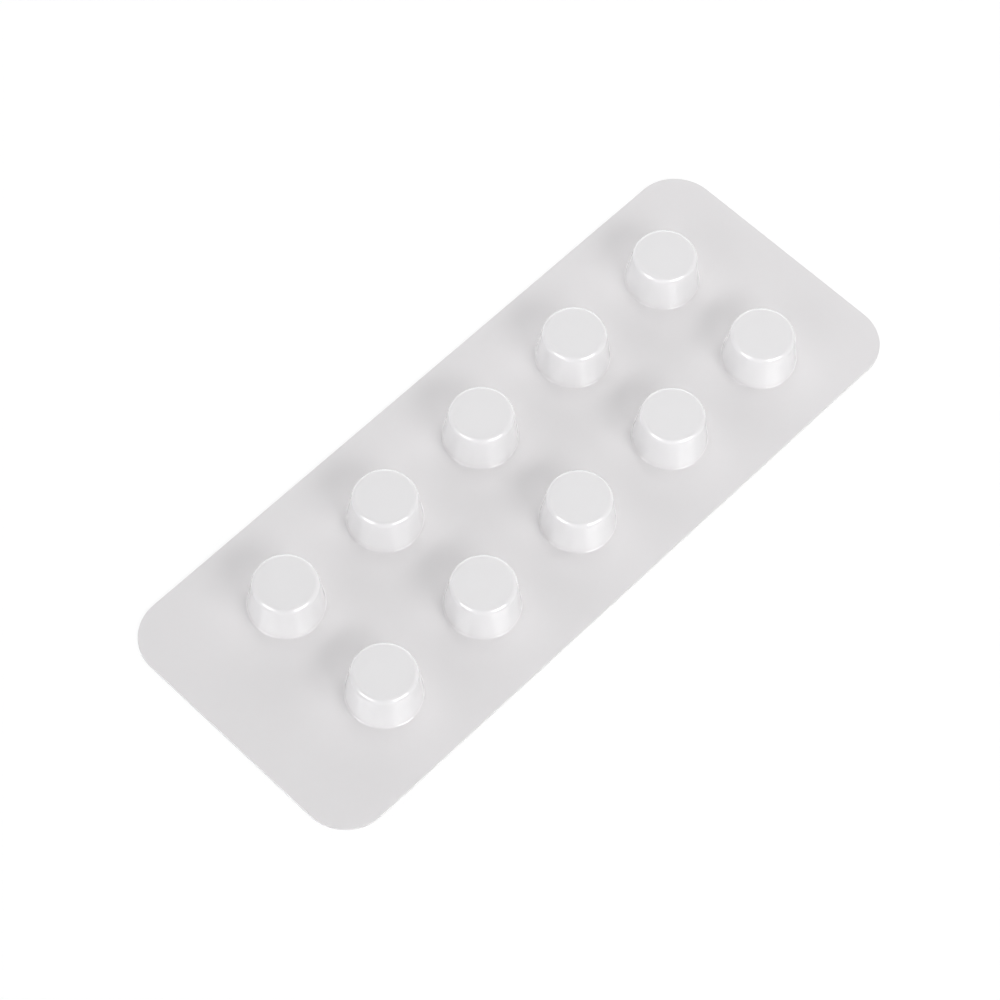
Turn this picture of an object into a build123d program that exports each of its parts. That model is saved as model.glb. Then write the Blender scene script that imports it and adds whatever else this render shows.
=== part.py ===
"""Sealed tablet blister pack: opaque white film with rows of formed pockets, closed below with foil.

Millimetres, +Z up. The origin is the centre of the underside, which the pack rests on. +X runs
along the pack, away from the wide end margin that packs of this kind keep for a batch code.
"""

import os
from math import radians, tan

from build123d import *

# Pockets, measured on the outside of the film
pocket_columns = 5
pocket_rows = 2
column_pitch = 16.0
row_pitch = 16.0
pocket_foot_diameter = 9.1
pocket_height = 5.1
pocket_draft = 7.7
crown_rounding = 0.46
foot_rounding = 0.22

# Sheet, with its margins measured from the centres of the outer pockets
film_thickness = 0.25
foil_thickness = 0.03
side_margin = 10.65
plain_end_margin = 13.8
code_end_margin = 16.6
corner_radius = 5.6

# Sizes that follow from those above
web_thickness = film_thickness + foil_thickness
pack_height = web_thickness + pocket_height
pack_length = (pocket_columns - 1) * column_pitch + plain_end_margin + code_end_margin
pack_width = (pocket_rows - 1) * row_pitch + 2 * side_margin
pattern_shift = (code_end_margin - plain_end_margin) / 2
wall_slope = tan(radians(pocket_draft))


def wall_radius(height):
    """Outside radius of a pocket's drafted wall at a height above the web."""
    return pocket_foot_diameter / 2 - wall_slope * height


# One pocket: a flat crown with a rounded rim, a drafted wall and a foot that bends out into the web
with BuildPart() as pocket:
    with BuildSketch(Plane.XZ):
        with BuildLine():
            crown_rim = (wall_radius(pocket_height) - crown_rounding, pack_height)
            wall_top = (wall_radius(pocket_height - crown_rounding), pack_height - crown_rounding)
            wall_foot = (wall_radius(foot_rounding), web_thickness + foot_rounding)
            web_rim = (wall_radius(0) + foot_rounding, web_thickness)
            down_the_wall = (wall_slope, -1)
            Spline(crown_rim, wall_top, tangents=((1, 0), down_the_wall))
            Line(wall_top, wall_foot)
            foot_bend = TangentArc(wall_foot, web_rim, tangent=down_the_wall, mode=Mode.PRIVATE)
            Polyline(wall_foot, foot_bend @ 0.5, web_rim)
            Polyline(web_rim, (0, web_thickness), (0, pack_height), crown_rim)
        make_face()
    revolve(axis=Axis.Z)

# The pack: the sealed sheet with its pockets, one closed solid
with BuildPart() as blister_pack:
    with BuildSketch():
        RectangleRounded(pack_length, pack_width, corner_radius)
    extrude(amount=web_thickness)

    with Locations((pattern_shift, 0)):
        with GridLocations(column_pitch, row_pitch, pocket_columns, pocket_rows):
            add(pocket.part)

blister_pack.part.label = "blister_pack"
os.makedirs("parts", exist_ok=True)
export_step(blister_pack.part, "parts/blister_pack.step")
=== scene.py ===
import math

import bpy
from mathutils import Matrix, Vector


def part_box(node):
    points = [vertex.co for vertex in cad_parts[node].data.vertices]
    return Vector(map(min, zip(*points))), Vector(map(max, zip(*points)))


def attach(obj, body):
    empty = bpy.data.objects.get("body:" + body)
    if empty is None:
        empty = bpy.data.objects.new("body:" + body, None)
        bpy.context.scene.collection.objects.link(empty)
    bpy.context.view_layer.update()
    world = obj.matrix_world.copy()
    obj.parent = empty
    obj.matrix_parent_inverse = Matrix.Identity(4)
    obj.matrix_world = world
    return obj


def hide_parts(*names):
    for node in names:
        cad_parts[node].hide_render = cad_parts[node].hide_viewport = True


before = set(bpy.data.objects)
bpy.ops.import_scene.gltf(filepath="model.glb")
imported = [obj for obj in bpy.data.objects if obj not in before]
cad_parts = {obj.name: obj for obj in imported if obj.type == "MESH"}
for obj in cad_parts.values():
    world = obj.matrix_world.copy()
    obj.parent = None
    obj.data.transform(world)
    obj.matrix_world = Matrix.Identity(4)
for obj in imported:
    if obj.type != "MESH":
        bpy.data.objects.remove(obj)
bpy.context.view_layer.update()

# Formed film
# Opaque white plastic film, a quarter of a millimetre thick, that was heated and drawn into rows of
# round pockets. It is die-cut together with the foil, which leaves a hair of a rounded burr above.
MM = 0.001
pack_low, pack_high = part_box("blister_pack")
film_thickness = 0.25 * MM
foil_thickness = 0.03 * MM
web_level = film_thickness + foil_thickness
pocket_height = pack_high.z - web_level
pocket_foot_radius = 4.55 * MM
pocket_draft = math.radians(7.7)
corner_steps = 20
pocket_steps = 10
mouth_steps = 3
edge_steps = 4
weld_distance = 0.001 * MM
sharp_angle = math.radians(35.0)

sheet_sizes = {
    "Length": pack_high.x - pack_low.x,
    "Width": pack_high.y - pack_low.y,
    "Corner": 5.6 * MM,
    "Columns": 5,
    "Rows": 2,
    "Pitch": 16.0 * MM,
    "Shift": 1.4 * MM,
    "Segments": 96,
    "Mouth Radius": 4.3 * MM,
    "Mouth Slope": 0.9 * MM,
    "Mouth Dip": 0.06 * MM,
    "Mouth Bend": 4.0 * MM,
    "Mouth Ring": 5.2 * MM,
}
film_sizes = {
    "Top Level": web_level,
    "Under Level": foil_thickness,
    "Burr": 0.04 * MM,
    "Pocket Height": pocket_height,
    "Crown Flat": 2.9 * MM,
    "Top Radius": pocket_foot_radius - pocket_height * math.tan(pocket_draft),
    "Foot Radius": pocket_foot_radius,
    "Crown Bend": 0.65 * MM,
    "Foot Bend": 0.25 * MM,
    "Pocket Ring": 5.4 * MM,
}


def new_tree(name, inputs, outputs):
    """An empty geometry tree with named inputs and outputs, and the sockets of its two ends."""
    tree = bpy.data.node_groups.new(name, "GeometryNodeTree")
    for direction, sockets in (("INPUT", inputs), ("OUTPUT", outputs)):
        for socket, kind in sockets.items():
            tree.interface.new_socket(socket, in_out=direction, socket_type="NodeSocket" + kind)
    return tree, tree.nodes.new("NodeGroupInput").outputs, tree.nodes.new("NodeGroupOutput").inputs


def add_node(tree, kind, sources=None, **options):
    """Adds a node, sets its options, joins or sets its inputs, and returns its outputs."""
    node = tree.nodes.new(kind)
    for option, value in options.items():
        setattr(node, option, value)
    for socket, source in (sources or {}).items():
        for each in source if isinstance(source, list) else [source]:
            if isinstance(each, bpy.types.NodeSocket):
                tree.links.new(each, node.inputs[socket])
            else:
                node.inputs[socket].default_value = each
    return node.outputs


def maths(tree, operation, first, second):
    """The result of a sum on two sockets or numbers."""
    return add_node(tree, "ShaderNodeMath", {0: first, 1: second}, operation=operation)["Value"]


def vector(tree, x=0.0, y=0.0, z=0.0):
    """A vector of three sockets or numbers."""
    return add_node(tree, "ShaderNodeCombineXYZ", {"X": x, "Y": y, "Z": z})["Vector"]


def by_index(tree, data_type, values):
    """A field with the first value at point 0, the second at point 1, and so on."""
    switch = tree.nodes.new("GeometryNodeIndexSwitch")
    switch.data_type = data_type
    while len(switch.index_switch_items) < len(values):
        switch.index_switch_items.new()
    tree.links.new(add_node(tree, "GeometryNodeInputIndex")["Index"], switch.inputs["Index"])
    for place, value in enumerate(values):
        if isinstance(value, bpy.types.NodeSocket):
            tree.links.new(value, switch.inputs[str(place)])
        else:
            switch.inputs[str(place)].default_value = value
    return switch.outputs["Output"]


def section_line(tree, corners, bends, steps):
    """An open section through corners (radius, height), with a bend radius at each corner."""
    points = [vector(tree, radius, height) for radius, height in corners]
    line = add_node(tree, "GeometryNodeMeshLine", {"Count": len(corners)})["Mesh"]
    spread = {"Geometry": line, "Position": by_index(tree, "VECTOR", points)}
    line = add_node(tree, "GeometryNodeSetPosition", spread)["Geometry"]
    line = add_node(tree, "GeometryNodeMeshToCurve", {"Mesh": line})["Curve"]
    rounded = {"Curve": line, "Count": steps, "Radius": by_index(tree, "FLOAT", bends)}
    return add_node(tree, "GeometryNodeFilletCurve", rounded, mode="POLY")["Curve"]


def swept(tree, section, path, inset):
    """A section carried round a closed path, with its heights up and the path at radius inset."""
    placing = {"Geometry": section, "Scale": (1.0, -1.0, 1.0)}
    placing["Translation"] = vector(tree, maths(tree, "MULTIPLY", inset, -1.0))
    section = add_node(tree, "GeometryNodeTransform", placing)["Geometry"]
    sweep = {"Curve": path, "Profile Curve": section}
    return add_node(tree, "GeometryNodeCurveToMesh", sweep)["Mesh"]


def lifted(tree, shape, level):
    """A shape moved up to a level."""
    moved = {"Geometry": shape, "Translation": vector(tree, z=level)}
    return add_node(tree, "GeometryNodeTransform", moved)["Geometry"]


def make_outline_tree():
    """The die-cut outline: a rectangle with rounded corners."""
    sockets = {"Length": "Float", "Width": "Float", "Corner": "Float"}
    tree, given, made = new_tree("sheet_outline", sockets, {"Curve": "Geometry"})
    sides = {"Width": given["Length"], "Height": given["Width"]}
    line = add_node(tree, "GeometryNodeCurvePrimitiveQuadrilateral", sides)["Curve"]
    rounded = {"Curve": line, "Count": corner_steps, "Radius": given["Corner"]}
    line = add_node(tree, "GeometryNodeFilletCurve", rounded, mode="POLY")["Curve"]
    tree.links.new(line, made["Curve"])
    return tree


outline_tree = make_outline_tree()
pattern_sockets = {
    "Length": "Float",
    "Width": "Float",
    "Corner": "Float",
    "Columns": "Int",
    "Rows": "Int",
    "Pitch": "Float",
    "Shift": "Float",
    "Segments": "Int",
}


def make_face_tree():
    """One face of the sheet: a turned shape at each pocket's place and the web around them."""
    sockets = {"Section": "Geometry", "Ring": "Float", **pattern_sockets}
    tree, given, made = new_tree("patterned_face", sockets, {"Mesh": "Geometry"})
    grid = {"Vertices X": given["Columns"], "Vertices Y": given["Rows"]}
    for size, number in (("Size X", "Columns"), ("Size Y", "Rows")):
        gaps = maths(tree, "SUBTRACT", given[number], 1.0)
        grid[size] = maths(tree, "MULTIPLY", gaps, given["Pitch"])
    places = add_node(tree, "GeometryNodeMeshGrid", grid)["Mesh"]
    moved = {"Geometry": places, "Translation": vector(tree, given["Shift"])}
    places = add_node(tree, "GeometryNodeTransform", moved)["Geometry"]
    circle = {"Resolution": given["Segments"], "Radius": given["Ring"]}
    ring = add_node(tree, "GeometryNodeCurvePrimitiveCircle", circle)["Curve"]
    turned = swept(tree, given["Section"], ring, given["Ring"])
    repeated = []
    for shape in (turned, ring):
        copies = {"Points": places, "Instance": shape}
        repeated.append(add_node(tree, "GeometryNodeInstanceOnPoints", copies)["Instances"])
    turned, rings = repeated
    sides = {name: given[name] for name in ("Length", "Width", "Corner")}
    outline = add_node(tree, "GeometryNodeGroup", sides, node_tree=outline_tree)["Curve"]
    borders = add_node(tree, "GeometryNodeJoinGeometry", {"Geometry": [outline, rings]})["Geometry"]
    borders = add_node(tree, "GeometryNodeRealizeInstances", {"Geometry": borders})["Geometry"]
    web = add_node(tree, "GeometryNodeFillCurve", {"Curve": borders}, mode="TRIANGLES")["Mesh"]
    face = add_node(tree, "GeometryNodeJoinGeometry", {"Geometry": [web, turned]})["Geometry"]
    tree.links.new(face, made["Mesh"])
    return tree


face_tree = make_face_tree()


def make_sheet_tree():
    """A closed sheet: a patterned face above, another below and the die-cut edge between."""
    sockets = {
        "Top Section": "Geometry",
        "Top Ring": "Float",
        "Top Level": "Float",
        "Under Section": "Geometry",
        "Under Ring": "Float",
        "Under Level": "Float",
        "Burr": "Float",
        "Material": "Material",
        **pattern_sockets,
    }
    tree, given, made = new_tree("closed_sheet", sockets, {"Mesh": "Geometry"})
    whole = {name: given[name] for name in pattern_sockets}
    inner = dict(whole)
    for name, sides in (("Length", 2.0), ("Width", 2.0), ("Corner", 1.0)):
        burrs = maths(tree, "MULTIPLY", given["Burr"], sides)
        inner[name] = maths(tree, "SUBTRACT", given[name], burrs)
    faces = {}
    for side, sizes in (("Top", inner), ("Under", whole)):
        joined = {"Section": given[side + " Section"], "Ring": given[side + " Ring"], **sizes}
        face = add_node(tree, "GeometryNodeGroup", joined, node_tree=face_tree)["Mesh"]
        faces[side] = lifted(tree, face, given[side + " Level"])
    faces["Under"] = add_node(tree, "GeometryNodeFlipFaces", {"Mesh": faces["Under"]})["Mesh"]
    depth = maths(tree, "SUBTRACT", given["Under Level"], given["Top Level"])
    corners = [(0.0, 0.0), (given["Burr"], 0.0), (given["Burr"], depth)]
    edge = section_line(tree, corners, [0.0, given["Burr"], 0.0], edge_steps)
    rim = {name: inner[name] for name in ("Length", "Width", "Corner")}
    rim = add_node(tree, "GeometryNodeGroup", rim, node_tree=outline_tree)["Curve"]
    faces["Edge"] = lifted(tree, swept(tree, edge, rim, 0.0), given["Top Level"])
    pieces = {"Geometry": list(faces.values())}
    shell = add_node(tree, "GeometryNodeJoinGeometry", pieces)["Geometry"]
    shell = add_node(tree, "GeometryNodeRealizeInstances", {"Geometry": shell})["Geometry"]
    welded = {"Geometry": shell, "Distance": weld_distance}
    shell = add_node(tree, "GeometryNodeMergeByDistance", welded)["Geometry"]
    shell = add_node(tree, "GeometryNodeSetShadeSmooth", {"Geometry": shell})["Geometry"]
    angle = add_node(tree, "GeometryNodeInputMeshEdgeAngle")["Unsigned Angle"]
    low_angle = {"A": angle, "B": sharp_angle}
    soft = add_node(tree, "FunctionNodeCompare", low_angle, operation="LESS_THAN")["Result"]
    smooth = {"Geometry": shell, "Shade Smooth": soft}
    shell = add_node(tree, "GeometryNodeSetShadeSmooth", smooth, domain="EDGE")["Geometry"]
    painted = {"Geometry": shell, "Material": given["Material"]}
    shell = add_node(tree, "GeometryNodeSetMaterial", painted)["Geometry"]
    tree.links.new(shell, made["Mesh"])
    return tree


sheet_tree = make_sheet_tree()
mouth_sockets = {name: "Float" for name in sheet_sizes if name.startswith("Mouth")}
shared_sockets = {
    "Top Level": "Float",
    "Under Level": "Float",
    "Burr": "Float",
    "Material": "Material",
    **pattern_sockets,
}


def mouth_section(tree, given):
    """Half a section through the shallow dip of the foil over a pocket's mouth."""
    floor = maths(tree, "SUBTRACT", given["Mouth Radius"], given["Mouth Slope"])
    dip = given["Mouth Dip"]
    bend = given["Mouth Bend"]
    corners = [(0.0, dip), (floor, dip), (given["Mouth Radius"], 0.0), (given["Mouth Ring"], 0.0)]
    return section_line(tree, corners, [0.0, bend, bend, 0.0], mouth_steps)


def make_film_tree():
    """The film: pockets on the top face, and below it the dips that the foil is sealed along."""
    pocket_sockets = {name: "Float" for name in film_sizes if name not in shared_sockets}
    sockets = {**shared_sockets, **pocket_sockets, **mouth_sockets}
    tree, given, made = new_tree("formed_film", sockets, {"Mesh": "Geometry"})
    height = given["Pocket Height"]
    corners = [
        (0.0, height),
        (given["Crown Flat"], height),
        (given["Top Radius"], height),
        (given["Foot Radius"], 0.0),
        (given["Pocket Ring"], 0.0),
    ]
    bends = [0.0, 0.0, given["Crown Bend"], given["Foot Bend"], 0.0]
    joined = {name: given[name] for name in shared_sockets}
    joined["Top Section"] = section_line(tree, corners, bends, pocket_steps)
    joined["Top Ring"] = given["Pocket Ring"]
    joined["Under Section"] = mouth_section(tree, given)
    joined["Under Ring"] = given["Mouth Ring"]
    sheet = add_node(tree, "GeometryNodeGroup", joined, node_tree=sheet_tree)["Mesh"]
    tree.links.new(sheet, made["Mesh"])
    return tree


def grown(name, tree, sizes):
    """A plain mesh object of what a geometry tree makes of the named sizes."""
    piece = bpy.data.objects.new(name, bpy.data.meshes.new(name))
    bpy.context.scene.collection.objects.link(piece)
    modifier = piece.modifiers.new("shape", "NODES")
    modifier.node_group = tree
    for socket in tree.interface.items_tree:
        if socket.in_out == "INPUT":
            modifier[socket.identifier] = sizes[socket.name]
    shape = piece.evaluated_get(bpy.context.evaluated_depsgraph_get())
    piece.data = bpy.data.meshes.new_from_object(shape)
    piece.modifiers.remove(modifier)
    # The tree's mesh has an empty slot before the one with the material
    piece.data.materials.pop(index=0)
    return piece


def make_mottle_group():
    """The unevenness of a drawn or rolled sheet: broad clouds and a fine grain, nought to one."""
    group = bpy.data.node_groups.new("sheet_mottle", "ShaderNodeTree")
    group.interface.new_socket("Stretch", in_out="INPUT", socket_type="NodeSocketVector")
    for name in ("Cloud Scale", "Grain Scale"):
        group.interface.new_socket(name, in_out="INPUT", socket_type="NodeSocketFloat")
    for name in ("Clouds", "Grain"):
        group.interface.new_socket(name, in_out="OUTPUT", socket_type="NodeSocketFloat")
    given = group.nodes.new("NodeGroupInput").outputs
    made = group.nodes.new("NodeGroupOutput").inputs
    place = add_node(group, "ShaderNodeTexCoord")["Object"]
    drawn = {0: place, 1: given["Stretch"]}
    drawn = add_node(group, "ShaderNodeVectorMath", drawn, operation="MULTIPLY")["Vector"]
    for name, scale, detail in (("Clouds", "Cloud Scale", 2.0), ("Grain", "Grain Scale", 3.0)):
        noise = {"Vector": drawn, "Scale": given[scale], "Detail": detail}
        group.links.new(add_node(group, "ShaderNodeTexNoise", noise)["Fac"], made[name])
    return group


mottle_group = make_mottle_group()


def between(tree, value, low, high, from_low=0.0, from_high=1.0):
    """A value spread from one range to another."""
    spread = {"Value": value, "From Min": from_low, "From Max": from_high}
    spread.update({"To Min": low, "To Max": high})
    return add_node(tree, "ShaderNodeMapRange", spread)["Result"]


noise_span = (0.3, 0.7)
film_mottle = {"Stretch": (1.0, 1.0, 1.0), "Cloud Scale": 110.0, "Grain Scale": 2500.0}
film_web_colour = (0.806, 0.791, 0.796, 1.0)
film_pocket_colour = (0.837, 0.829, 0.833, 1.0)
film_tint_rise = 0.8 * MM
film_unevenness = 0.12
film_grain = {"Strength": 0.25, "Distance": 0.01 * MM}
film_roughness = (0.12, 0.17)
film_shader = {
    "IOR": 1.54,
    "Coat Weight": 0.4,
    "Coat Roughness": 0.08,
    "Subsurface Weight": 0.2,
    "Subsurface Radius": (1.0, 1.0, 1.0),
    "Subsurface Scale": 0.3 * MM,
}


def make_film_paint():
    """White film: a little greyer on the web, with foil right behind it, than on the pockets."""
    paint = bpy.data.materials.new("film_plastic")
    paint.use_nodes = True
    tree = paint.node_tree
    shader = tree.nodes["Principled BSDF"]
    mottle = add_node(tree, "ShaderNodeGroup", film_mottle, node_tree=mottle_group)
    place = add_node(tree, "ShaderNodeTexCoord")["Object"]
    height = add_node(tree, "ShaderNodeSeparateXYZ", {"Vector": place})["Z"]
    raised = between(tree, height, 0.0, 1.0, web_level, web_level + film_tint_rise)
    thinned = between(tree, mottle["Clouds"], -film_unevenness, film_unevenness, *noise_span)
    drawn = maths(tree, "ADD", raised, thinned)
    tint = add_node(tree, "ShaderNodeValToRGB", {"Fac": drawn})["Color"]
    ramp = tint.node.color_ramp
    ramp.elements[0].color = film_web_colour
    ramp.elements[1].color = film_pocket_colour
    bump = add_node(tree, "ShaderNodeBump", {"Height": mottle["Grain"], **film_grain})["Normal"]
    roughness = between(tree, mottle["Clouds"], *film_roughness, *noise_span)
    tree.links.new(tint, shader.inputs["Base Color"])
    tree.links.new(roughness, shader.inputs["Roughness"])
    tree.links.new(bump, shader.inputs["Normal"])
    for socket, value in film_shader.items():
        shader.inputs[socket].default_value = value
    return paint


film_values = {**sheet_sizes, **film_sizes, "Material": make_film_paint()}
film = grown("formed_film", make_film_tree(), film_values)
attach(film, "root")
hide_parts("blister_pack")

# Lidding foil
# Hard aluminium foil, three hundredths of a millimetre thick, heat-sealed to the film's flat web
# all over and cut with it. It is drawn in a little over each pocket's mouth.
foil_sizes = {"Top Level": foil_thickness, "Under Level": 0.0, "Burr": 0.004 * MM}
foil_mottle = {"Stretch": (0.02, 1.0, 1.0), "Cloud Scale": 260.0, "Grain Scale": 6000.0}
foil_dull_colour = (0.78, 0.785, 0.79, 1.0)
foil_bright_colour = (0.85, 0.853, 0.86, 1.0)
foil_grain = {"Strength": 0.3, "Distance": 0.005 * MM}
foil_roughness = (0.26, 0.40)


def make_foil_tree():
    """The foil: a thin sheet along the film's underside, with a dip at each pocket's mouth."""
    sockets = {**shared_sockets, **mouth_sockets}
    tree, given, made = new_tree("lidding_foil", sockets, {"Mesh": "Geometry"})
    joined = {name: given[name] for name in shared_sockets}
    for side in ("Top", "Under"):
        joined[side + " Section"] = mouth_section(tree, given)
        joined[side + " Ring"] = given["Mouth Ring"]
    sheet = add_node(tree, "GeometryNodeGroup", joined, node_tree=sheet_tree)["Mesh"]
    tree.links.new(sheet, made["Mesh"])
    return tree


def make_foil_paint():
    """Bright side of rolled aluminium: fine lines along the pack and a slightly uneven sheen."""
    paint = bpy.data.materials.new("foil_metal")
    paint.use_nodes = True
    tree = paint.node_tree
    shader = tree.nodes["Principled BSDF"]
    mottle = add_node(tree, "ShaderNodeGroup", foil_mottle, node_tree=mottle_group)
    tint = add_node(tree, "ShaderNodeValToRGB", {"Fac": mottle["Clouds"]})["Color"]
    ramp = tint.node.color_ramp
    ramp.elements[0].position, ramp.elements[1].position = noise_span
    ramp.elements[0].color = foil_dull_colour
    ramp.elements[1].color = foil_bright_colour
    bump = add_node(tree, "ShaderNodeBump", {"Height": mottle["Grain"], **foil_grain})["Normal"]
    roughness = between(tree, mottle["Grain"], *foil_roughness, *noise_span)
    tree.links.new(tint, shader.inputs["Base Color"])
    tree.links.new(roughness, shader.inputs["Roughness"])
    tree.links.new(bump, shader.inputs["Normal"])
    shader.inputs["Metallic"].default_value = 1.0
    return paint


foil_values = {**sheet_sizes, **foil_sizes, "Material": make_foil_paint()}
foil = grown("lidding_foil", make_foil_tree(), foil_values)
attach(foil, "root")

# Floor
# A plain white studio floor. What the camera and the reflections see of it is lifted to white, and
# the pack's soft shadow stays on it.
floor_size = 4.0
floor_level = -0.02 * MM
floor_colour = (0.8, 0.8, 0.8, 1.0)
seen_floor_colour = (0.3, 0.3, 0.3, 1.0)
seen_floor_glow = 0.75


def seen_rays(tree):
    """One for rays that show a thing: to the camera, in a reflection or through a clear body."""
    path = add_node(tree, "ShaderNodeLightPath")
    seen = maths(tree, "MAXIMUM", path["Is Camera Ray"], path["Is Glossy Ray"])
    return maths(tree, "MAXIMUM", seen, path["Is Transmission Ray"])


floor_mesh = bpy.data.meshes.new("floor")
half = floor_size / 2
floor_plan = ((-half, -half), (half, -half), (half, half), (-half, half))
floor_mesh.from_pydata([(x, y, floor_level) for x, y in floor_plan], [], [(0, 1, 2, 3)])
floor = bpy.data.objects.new("floor", floor_mesh)
bpy.context.scene.collection.objects.link(floor)
floor_paint = bpy.data.materials.new("studio_floor")
floor_paint.use_nodes = True
floor_nodes = floor_paint.node_tree
floor_nodes.nodes.clear()
matt = add_node(floor_nodes, "ShaderNodeBsdfDiffuse", {"Color": floor_colour})["BSDF"]
faint = add_node(floor_nodes, "ShaderNodeBsdfDiffuse", {"Color": seen_floor_colour})["BSDF"]
glow = add_node(floor_nodes, "ShaderNodeEmission", {"Strength": seen_floor_glow})["Emission"]
lit = add_node(floor_nodes, "ShaderNodeAddShader", {0: faint, 1: glow})["Shader"]
floor_mix = {0: seen_rays(floor_nodes), 1: matt, 2: lit}
floor_mix = add_node(floor_nodes, "ShaderNodeMixShader", floor_mix)["Shader"]
add_node(floor_nodes, "ShaderNodeOutputMaterial", {"Surface": floor_mix})
floor_mesh.materials.append(floor_paint)

# Studio light
# A key softbox to the right of the camera, a weaker fill to the left, one overhead and a low strip
# behind, in a white room that is bright near the floor, less so on the right. Two more lamps show
# only as glints on the bends.
view_azimuth = math.radians(-49.13)


def way_out(turn, rise):
    """The direction away from the pack, turned from its front and risen from the floor."""
    level = math.cos(rise)
    return Vector((math.sin(turn) * level, -math.cos(turn) * level, math.sin(rise)))


def softbox(name, side, elevation, distance, size, power):
    """A softbox aimed at the pack, side degrees to the right of the camera's own side."""
    light = bpy.data.lights.new(name, "AREA")
    light.shape = "RECTANGLE"
    light.size, light.size_y = size
    light.energy = power
    lamp = bpy.data.objects.new(name, light)
    bpy.context.scene.collection.objects.link(lamp)
    outward = way_out(view_azimuth + math.radians(side), math.radians(elevation))
    lamp.location = outward * distance
    lamp.rotation_euler = outward.to_track_quat("Z", "Y").to_euler()


softbox("back_strip", side=178.0, elevation=18.0, distance=0.50, size=(0.50, 0.20), power=0.55)
softbox("key_softbox", side=48.0, elevation=37.0, distance=0.50, size=(0.30, 0.15), power=0.90)
softbox("fill_softbox", side=-46.0, elevation=34.0, distance=2.00, size=(0.96, 0.48), power=3.60)
softbox("top_softbox", side=163.0, elevation=78.0, distance=0.46, size=(0.36, 0.36), power=0.81)
softbox("right_glint", side=48.0, elevation=36.0, distance=0.50, size=(0.30, 0.24), power=2.30)
softbox("left_glint", side=-46.0, elevation=34.0, distance=0.50, size=(0.26, 0.24), power=1.70)
for name in ("key_softbox", "fill_softbox", "top_softbox"):
    bpy.data.objects[name].visible_glossy = False
for name in ("right_glint", "left_glint"):
    bpy.data.objects[name].visible_diffuse = False

room = bpy.data.worlds.new("white_room")
room.use_nodes = True
room_nodes = room.node_tree
room_nodes.nodes.clear()
room_colour = (0.98, 0.98, 1.0, 1.0)
seen_room_colour = (1.0, 1.0, 1.0, 1.0)
horizon_light = 1.99
upper_light = 0.03
fading_heights = (0.10, 0.62)
right_share = 0.60
right_reach = 0.8
to_the_right = (math.cos(view_azimuth), math.sin(view_azimuth), 0.0)
way = add_node(room_nodes, "ShaderNodeTexCoord")["Generated"]
rise = add_node(room_nodes, "ShaderNodeSeparateXYZ", {"Vector": way})["Z"]
fading = between(room_nodes, rise, horizon_light, upper_light, *fading_heights)
turned = {0: way, 1: to_the_right}
turned = add_node(room_nodes, "ShaderNodeVectorMath", turned, operation="DOT_PRODUCT")["Value"]
shaded = between(room_nodes, turned, 1.0, right_share, 0.0, right_reach)
dim = {"Color": room_colour, "Strength": maths(room_nodes, "MULTIPLY", fading, shaded)}
dim = add_node(room_nodes, "ShaderNodeBackground", dim)["Background"]
white = {"Color": seen_room_colour, "Strength": 1.0}
white = add_node(room_nodes, "ShaderNodeBackground", white)["Background"]
room_mix = {0: seen_rays(room_nodes), 1: dim, 2: white}
room_mix = add_node(room_nodes, "ShaderNodeMixShader", room_mix)["Shader"]
add_node(room_nodes, "ShaderNodeOutputWorld", {"Surface": room_mix})
bpy.context.scene.world = room

# Camera
# The photograph's view: from the front left and well above, with a long lens and a slight roll.
view_elevation = math.radians(60.50)
view_roll = math.radians(3.80)
view_distance = 361.19 * MM
view_aim = Vector((-3.29 * MM, 0.17 * MM, web_level))
sensor_width = 36.0
focal_length = 110.27
near_clip = 0.01

camera_data = bpy.data.cameras.new("camera")
camera_data.sensor_width = sensor_width
camera_data.lens = focal_length
camera_data.clip_start = near_clip
camera = bpy.data.objects.new("camera", camera_data)
bpy.context.scene.collection.objects.link(camera)
back = way_out(view_azimuth, view_elevation)
level_right = Vector(to_the_right)
level_up = back.cross(level_right)
right = level_right * math.cos(view_roll) + level_up * math.sin(view_roll)
up = level_up * math.cos(view_roll) - level_right * math.sin(view_roll)
pose = Matrix((right, up, back)).transposed().to_4x4()
pose.translation = view_aim + back * view_distance
camera.matrix_world = pose
bpy.context.scene.camera = camera
bpy.context.scene.view_settings.view_transform = "Standard"
